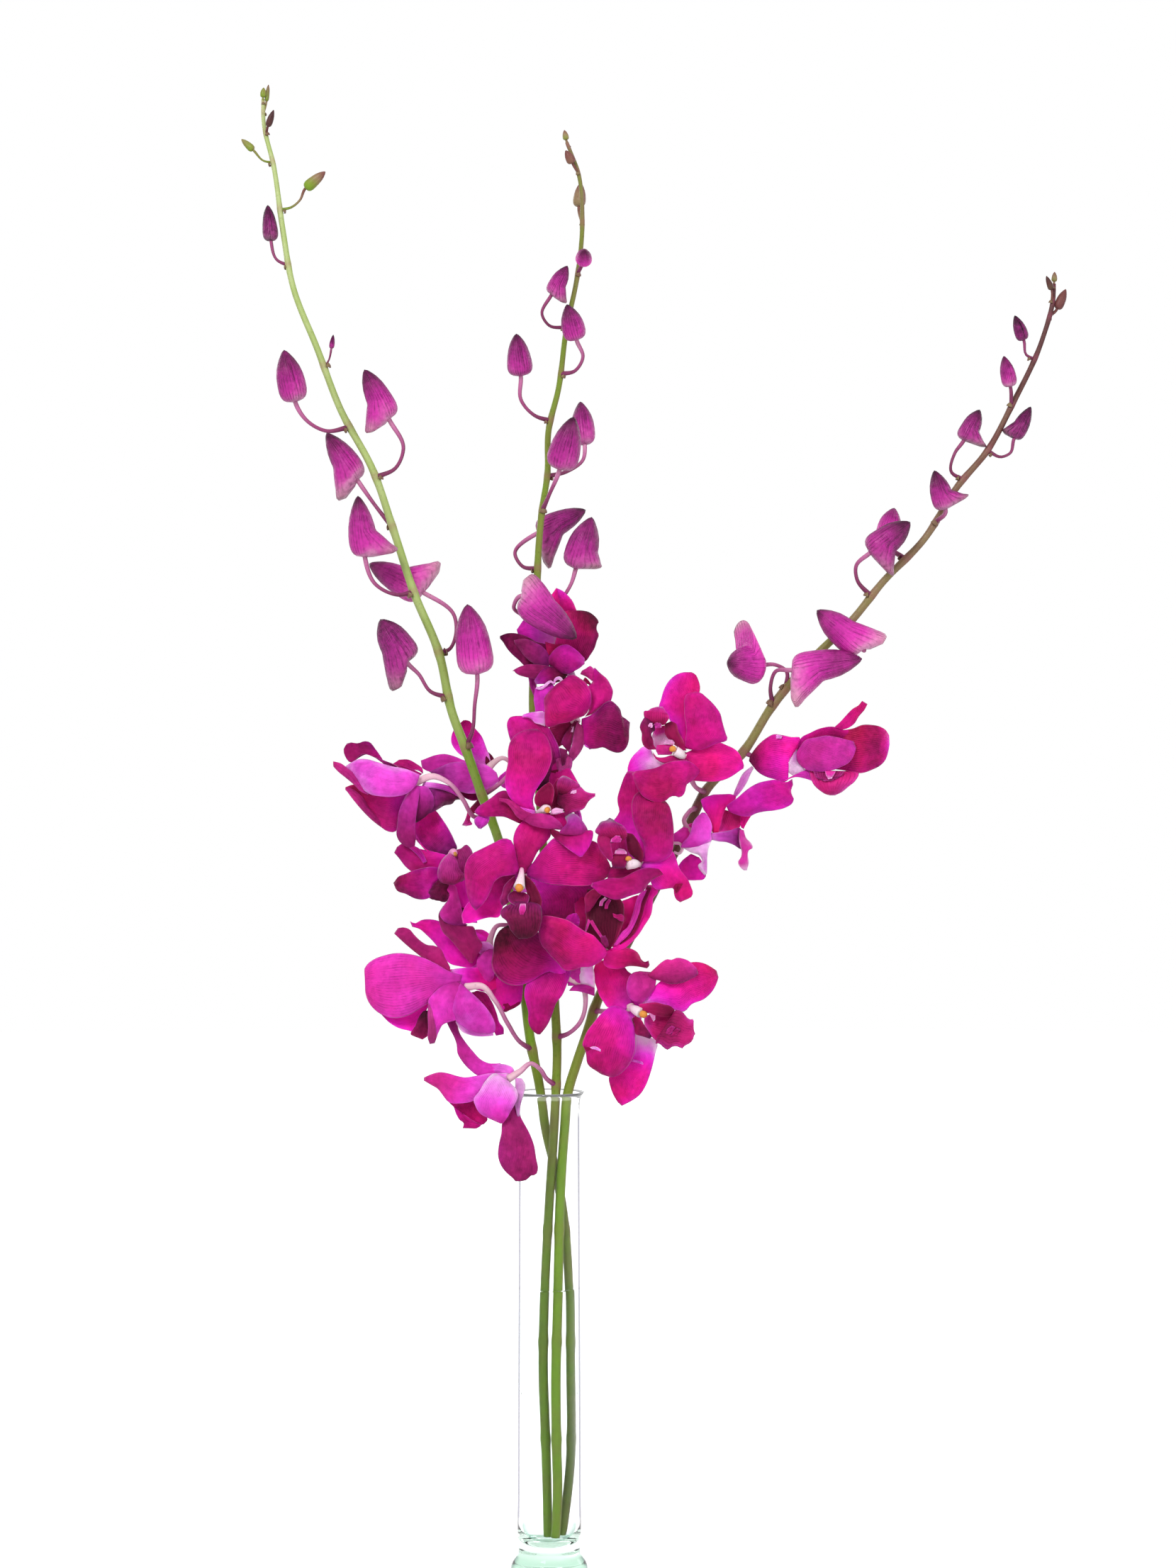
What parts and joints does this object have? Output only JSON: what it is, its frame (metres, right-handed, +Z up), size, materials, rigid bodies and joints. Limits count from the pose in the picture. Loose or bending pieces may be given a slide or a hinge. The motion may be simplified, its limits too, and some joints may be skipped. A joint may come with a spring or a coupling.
{
  "type": "dendrobium orchid in vase",
  "caption": "Tall spray of magenta dendrobium orchid stems with open flowers and closed buds, standing in water in a slim clear glass bud vase.",
  "frame": {"origin": "centre of the vase's foot, on the surface it stands on", "axes": "+Z up along the vase, -Y towards the viewer of the picture, +X to that viewer's right"},
  "size_m": [0.4119, 0.0882, 0.7478],
  "materials": {
    "petal": "soft satin magenta with fine veins",
    "lip": "velvety dark crimson",
    "stem": "waxy green stem with purple stalks and buds",
    "glass": "clear polished glass, faintly green in its foot",
    "water": "clear still water"
  },
  "bodies": {
    "root": {"vase": "glass", "water": "water", "spray_left": "stem", "spray_middle": "stem", "spray_right": "stem", "bloom_left_1": "petal", "bloom_left_2": "petal", "bloom_left_3": "petal", "bloom_left_4": "petal", "bloom_left_5": "petal", "bloom_middle_1": "petal", "bloom_middle_2": "petal", "bloom_middle_3": "petal", "bloom_middle_4": "petal", "bloom_middle_5": "petal", "bloom_middle_6": "petal", "bloom_middle_7": "petal", "bloom_right_1": "petal", "bloom_right_2": "petal", "bloom_right_3": "petal", "bloom_right_4": "petal", "bloom_right_5": "petal", "lip_left_1": "lip", "lip_left_3": "lip", "lip_left_4": "lip", "lip_middle_2": "lip", "lip_middle_3": "lip", "lip_middle_4": "lip", "lip_middle_5": "lip", "lip_right_1": "lip", "lip_right_2": "lip", "lip_right_3": "lip", "lip_right_4": "lip", "lip_right_5": "lip"}
  },
  "joints": []
}
